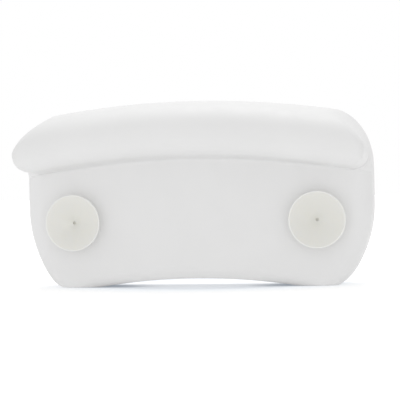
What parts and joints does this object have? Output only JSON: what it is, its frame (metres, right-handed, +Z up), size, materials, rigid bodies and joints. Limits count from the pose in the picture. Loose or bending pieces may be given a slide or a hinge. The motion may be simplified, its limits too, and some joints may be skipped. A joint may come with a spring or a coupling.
{
  "type": "bath pillow",
  "caption": "Moulded foam bath pillow with an arched body, a rear lip that hooks over the bath's rim, and removable swivelling suction cups on its bowed back.",
  "frame": {"origin": "below the middle of the pillow's box, on the surface that its feet stand on", "axes": "+X to the bather's left along the pillow's length, +Y from the head side to the back with the lip and the cups, +Z up"},
  "size_m": [0.311, 0.1224, 0.1648],
  "materials": {
    "skin": "matt-satin white polyurethane skin",
    "foam": "open-cell polyurethane foam, cream",
    "anchor": "moulded polypropylene, off white",
    "socket": "moulded soft plastic, off white",
    "cup": "glossy translucent soft vinyl, slightly yellowish"
  },
  "bodies": {
    "pillow": {"outer_skin": "skin", "foam_core": "foam", "anchor_insert_left": "anchor", "anchor_insert_right": "anchor"},
    "socket_left": {"cup_socket_left": "socket"},
    "socket_right": {"cup_socket_right": "socket"},
    "cup_left": {"suction_cup_left": "cup"},
    "cup_right": {"suction_cup_right": "cup"}
  },
  "joints": [
    {"name": "socket_left_swivel", "type": "hinge", "parent": "pillow", "child": "socket_left", "pos_m": [0.1085, 0.00355, 0.0585], "axis": [0.0775, 0.997, 0], "continuous": true},
    {"name": "cup_left_pull", "type": "slide", "parent": "socket_left", "child": "cup_left", "axis": [0.0775, 0.997, 0], "range_m": [0, 0.026]},
    {"name": "socket_right_swivel", "type": "hinge", "parent": "pillow", "child": "socket_right", "pos_m": [-0.1085, 0.00355, 0.0585], "axis": [-0.0775, 0.997, 0], "continuous": true},
    {"name": "cup_right_pull", "type": "slide", "parent": "socket_right", "child": "cup_right", "axis": [-0.0775, 0.997, 0], "range_m": [0, 0.026]}
  ]
}
